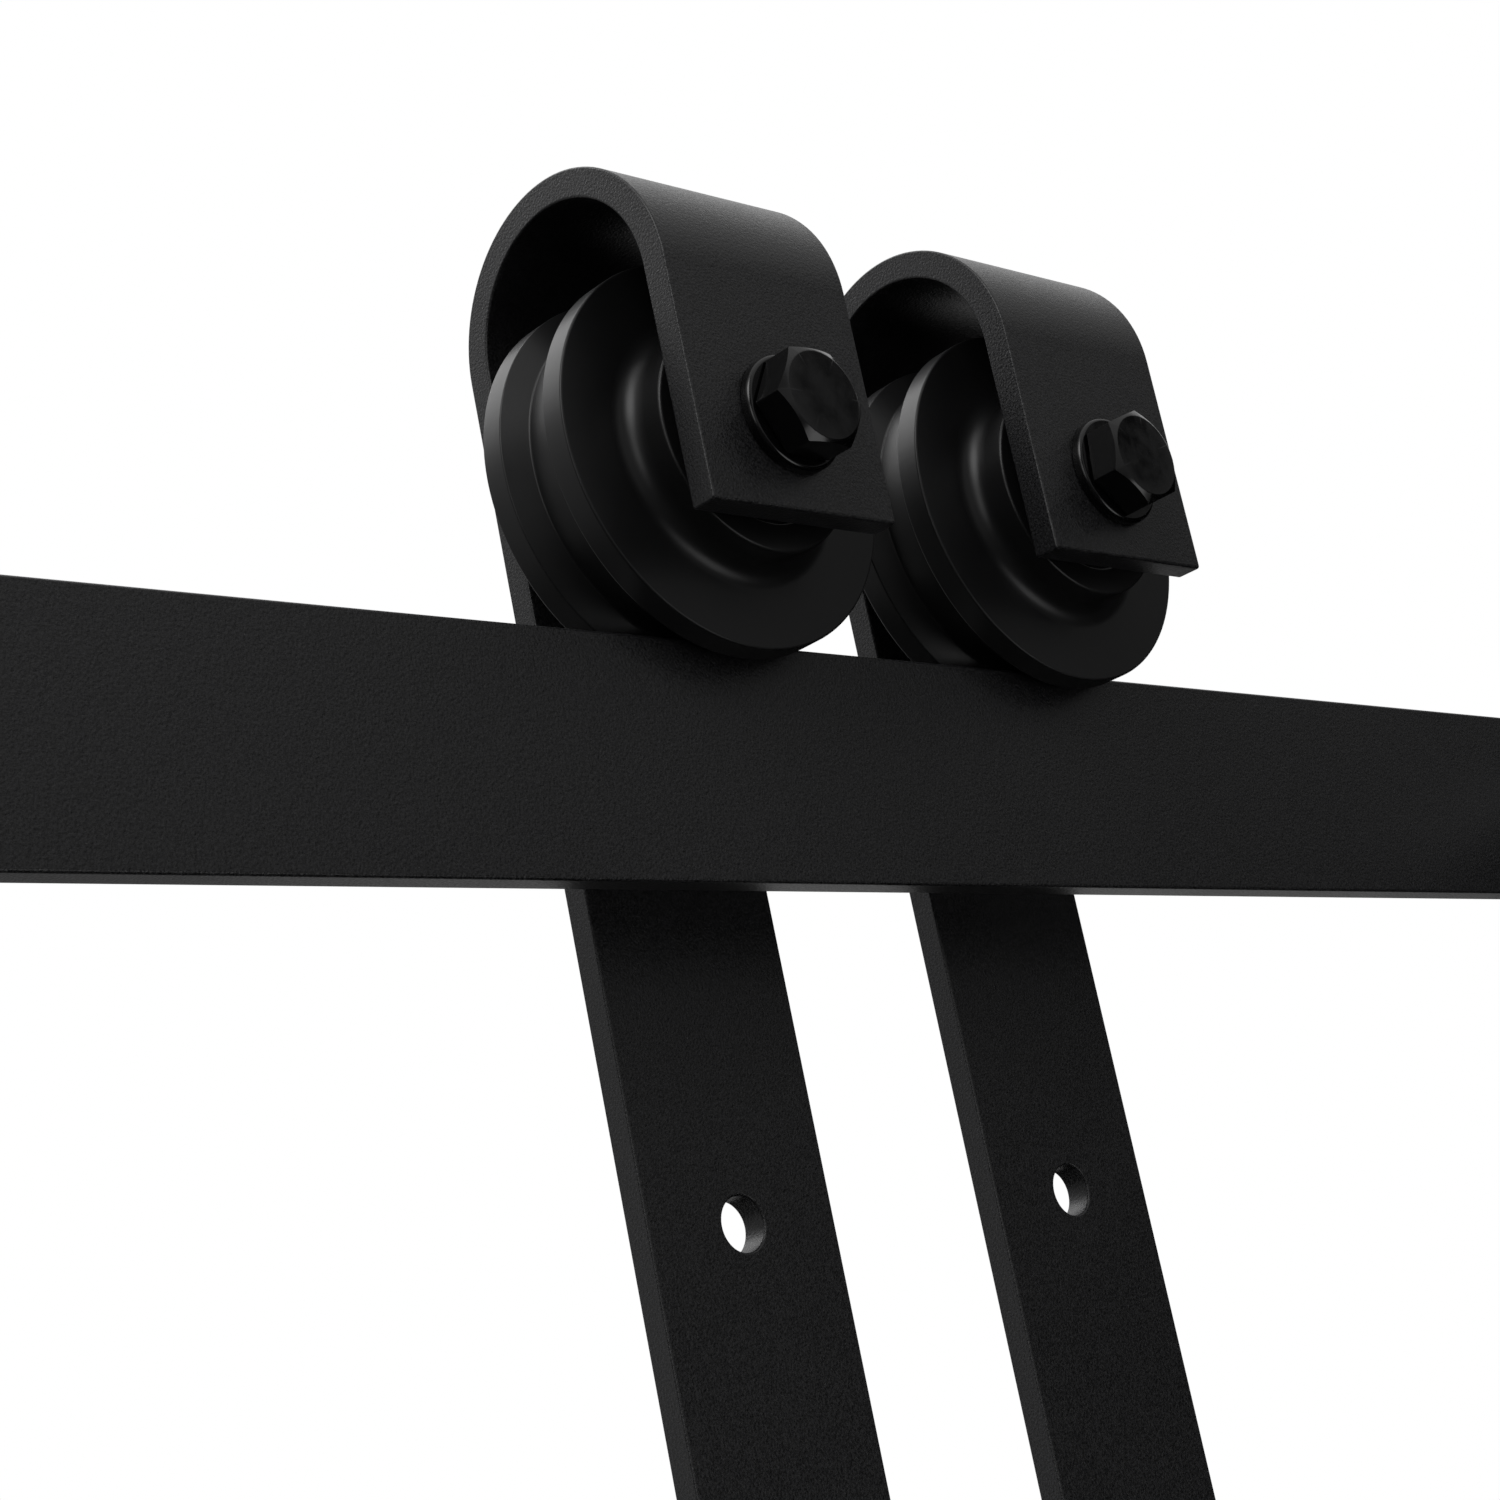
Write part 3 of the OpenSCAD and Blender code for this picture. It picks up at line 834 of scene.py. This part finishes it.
def wheel_outline(wheel_r, hub_end):
    """Section of the wheel: groove, rim lands, dished sides, hub and bearing seats."""
    rim = RIM_WIDTH / 2
    half = [
        (GROOVE_R, GROOVE_FLAT / 2, 0.5), (wheel_r, rim - RIM_LAND, 0.35), (wheel_r, rim, 0.4),
        (HUB_R, rim, HUB_FILLET), (HUB_R, hub_end, 0.6), (BEARING_R, hub_end, 0.4),
        (BEARING_R, BEARING_INSIDE, 0.2), (WHEEL_BORE_R, BEARING_INSIDE, 0.3)
    ]
    return rounded(half + [(r, -h, edge) for r, h, edge in reversed(half)], 0, 10)


def make_wheel(side):
    _, hi, mid = in_mm(f"{side}_wheel")
    bm = lathe(wheel_outline(hi.z - mid.z, hi.y - mid.y), 160)
    bm.transform(shifted(mid.x, mid.y, mid.z))
    place_piece(bm, f"{side}_grooved_wheel", f"{side}_roller", "wheel_nylon", f"{side}_wheel")


def ball_groove(shoulder_r):
    """The arc of a race's ball groove, from the shoulder at +Y to the one at -Y."""
    way = 1 if shoulder_r > BALL_CIRCLE_R else -1
    half = sqrt(BALL_GROOVE_R ** 2 - (shoulder_r - BALL_CIRCLE_R) ** 2)
    steps = 12
    ys = [half * (1 - 2 * k / steps) for k in range(steps + 1)]
    return [(BALL_CIRCLE_R + way * sqrt(BALL_GROOVE_R ** 2 - y * y), y, 0) for y in ys]


def outer_race_outline(half):
    """Section of the outer race: shield seats at both ends and the ball groove between them."""
    seat = half - SHIELD_SEAT_DEPTH
    return rounded([
        (OUTER_SHOULDER_R, -seat, 0.1), (SHIELD_SEAT_R, -seat, 0.05), (SHIELD_SEAT_R, -half, 0.15),
        (BEARING_R, -half, 0.5), (BEARING_R, half, 0.5), (SHIELD_SEAT_R, half, 0.15),
        (SHIELD_SEAT_R, seat, 0.05), (OUTER_SHOULDER_R, seat, 0.1), *ball_groove(OUTER_SHOULDER_R)
    ], 0)


def inner_race_outline(half):
    """Section of the inner race, with the ball groove in its outside."""
    return rounded([
        (BEARING_BORE_R, -half, 0.4), (INNER_SHOULDER_R, -half, 0.4),
        *reversed(ball_groove(INNER_SHOULDER_R)),
        (INNER_SHOULDER_R, half, 0.4), (BEARING_BORE_R, half, 0.4)
    ], 0)


def make_bearing(side, face):
    """The outer race and shields of one bearing, and the inner race that stays with the axle."""
    lo, hi, mid = in_mm(f"{side}_{face}_outer_race")
    half = (hi.y - lo.y) / 2
    at = shifted(mid.x, mid.y, mid.z)
    outer = lathe(outer_race_outline(half), 96)
    outer.transform(at)
    inner = lathe(inner_race_outline(half), 96)
    inner.transform(at)
    shields = joined(
        (lathe([(r, -h) for r, h in reversed(SHIELD_PLATE)], 96), at), (lathe(SHIELD_PLATE, 96), at)
    )
    roller, name = f"{side}_roller", f"{side}_{face}"
    place_piece(outer, f"{name}_bearing_ring", roller, "bearing_steel", f"{name}_outer_race")
    place_piece(shields, f"{name}_bearing_shields", roller, "plated_steel", f"{name}_shields")
    place_piece(inner, f"{name}_bearing_core", f"{side}_hanger", "bearing_steel", f"{name}_inner_race")


def paint_hidden_nodes():
    """The CAD nodes that stay as they are get the material of their slot."""
    slots = {entry["node"]: entry["material_slot"] for entry in frame["record"]["subparts"]}
    for name, obj in frame["nodes"].items():
        if not obj.hide_render:
            obj.data.materials.clear()
            obj.data.materials.append(MATERIALS[slots[name]])


make_rail()
make_spacers()
make_lag_bolts()
make_lag_washers()
make_stops()
for hanger in HANGERS:
    make_strap(hanger)
    make_axle_bolt(hanger)
    make_axle_washers(hanger)
    make_lock_nut(hanger)
    make_collars(hanger)
    make_wheel(hanger)
    for wheel_face in WHEEL_FACES:
        make_bearing(hanger, wheel_face)
paint_hidden_nodes()


# ---- Floor, light and background ----

def add_floor():
    """A plain pale floor, as far below the hardware as a door is high."""
    bm = bmesh.new()
    bmesh.ops.create_circle(bm, cap_ends=True, radius=FLOOR_R, segments=96)
    floor = as_object(bm, "floor")
    floor.location = (0, 0, FLOOR_Z)
    material, tree, shader = new_material("floor_paint", (0.88, 0.88, 0.87), 0.6)
    set_roughness(tree, shader, spread(tree, noise(tree, 3, 2), 0.55, 0.65))
    floor.data.materials.append(material)
    floor.visible_glossy = False


def add_floor_light():
    """A soft box over the floor, hidden from the camera and from reflections."""
    place, target = Vector((0, 0.9, 1.2)), Vector((0, 0.3, FLOOR_Z))
    data = bpy.data.lights.new("floor_light", "AREA")
    data.shape = "RECTANGLE"
    data.size, data.size_y = 1.0, 1.0
    data.energy = 60
    light = bpy.data.objects.new("floor_light", data)
    light.location = place
    light.rotation_mode = "QUATERNION"
    light.rotation_quaternion = (target - place).to_track_quat("-Z", "Y")
    light.visible_camera = False
    light.visible_glossy = False
    bpy.context.scene.collection.objects.link(light)


def glow(tree, towards, start, end, level, shape="SMOOTHSTEP"):
    """Light that rises from 0 to level as the cosine to a direction goes from start to end."""
    place = tree.nodes.new("ShaderNodeTexCoord")
    cosine = tree.nodes.new("ShaderNodeVectorMath")
    cosine.operation = "DOT_PRODUCT"
    cosine.inputs[1].default_value = Vector(towards).normalized()
    tree.links.new(place.outputs["Generated"], cosine.inputs[0])
    ramp = tree.nodes.new("ShaderNodeMapRange")
    ramp.interpolation_type = shape
    ramp.inputs["From Min"].default_value = start
    ramp.inputs["From Max"].default_value = end
    ramp.inputs["To Max"].default_value = level
    tree.links.new(cosine.outputs["Value"], ramp.inputs["Value"])
    return ramp.outputs["Result"]


def total(tree, values):
    """Adds values up."""
    value = values[0]
    for other in values[1:]:
        node = tree.nodes.new("ShaderNodeMath")
        tree.links.new(value, node.inputs[0])
        tree.links.new(other, node.inputs[1])
        value = node.outputs["Value"]
    return value


def not_negative(tree, value):
    """The value, or 0 where it is below 0."""
    node = tree.nodes.new("ShaderNodeMath")
    node.operation = "MAXIMUM"
    tree.links.new(value, node.inputs[0])
    node.inputs[1].default_value = 0.0
    return node.outputs["Value"]


def studio_light(tree):
    """Strength of the light from each direction: a dome that brightens upwards, soft boxes and,
    with a negative level, dark cards. Each line says what reflects it towards the camera."""
    return not_negative(tree, total(tree, [
        glow(tree, (-0.10, -0.30, 0.95), 0.07, 1.0, 0.72, "LINEAR"),   # the dome, on everything
        glow(tree, (0.73, -0.55, 0.42), 0.988, 0.996, -0.26),          # dark: bolt heads' faces
        glow(tree, (0.85, -0.50, 0.05), 0.95, 1.0, -0.12),             # dark: rail's right, right leg
        glow(tree, (-0.45, -0.65, 0.62), 0.86, 0.98, -0.45),           # dark: wheels' grooves
        glow(tree, (0.60, 0.42, 0.68), 0.83, 1.0, 0.76),               # straps' bends
        glow(tree, (0.70, 0.64, -0.32), 0.92, 1.0, 0.5),               # rail's underside
        glow(tree, (-0.15, 0.60, 0.79), 0.86, 1.0, 2.0),               # wheels' rims, strap edges
        glow(tree, (-0.66, 0.64, 0.42), 0.93, 1.0, 0.25),              # rim lands, strap sides
        glow(tree, (-0.70, 0.70, 0.0), 0.88, 1.0, 0.36),               # legs' sides
        glow(tree, (-0.70, -0.62, -0.35), 0.70, 1.0, 0.05),            # fill from the camera's side
        glow(tree, (0.0, -1.0, 0.0), 0.93, 1.0, 0.12),                 # fill from the wall's side
        glow(tree, (0.0, 1.0, -0.15), 0.82, 1.0, 0.5),                 # fill from the room's side
        glow(tree, (-0.58, -0.40, 0.71), 0.92, 1.0, 4.2),              # hubs' highlight, upper part
        glow(tree, (-0.80, -0.58, 0.15), 0.95, 1.0, 1.6),              # hubs' highlight, lower part
        glow(tree, (0.32, -0.85, -0.42), 0.958, 0.985, 1.7),           # bolt chamfers, lower dishes
    ]))


def add_world():
    """White to the camera, and the studio light to everything else."""
    world = bpy.data.worlds.new("studio")
    bpy.context.scene.world = world
    world.use_nodes = True
    tree = world.node_tree
    tree.nodes.clear()
    lit = tree.nodes.new("ShaderNodeBackground")
    tree.links.new(studio_light(tree), lit.inputs["Strength"])
    plain = tree.nodes.new("ShaderNodeBackground")
    plain.inputs["Strength"].default_value = 1.0
    for background in (lit, plain):
        background.inputs["Color"].default_value = (1, 1, 1, 1)
    rays = tree.nodes.new("ShaderNodeLightPath")
    mixed = tree.nodes.new("ShaderNodeMixShader")
    out = tree.nodes.new("ShaderNodeOutputWorld")
    tree.links.new(rays.outputs["Is Camera Ray"], mixed.inputs["Fac"])
    tree.links.new(lit.outputs["Background"], mixed.inputs[1])
    tree.links.new(plain.outputs["Background"], mixed.inputs[2])
    tree.links.new(mixed.outputs["Shader"], out.inputs["Surface"])


add_floor()
add_world()
bpy.context.scene.view_settings.view_transform = "Standard"
add_floor_light()
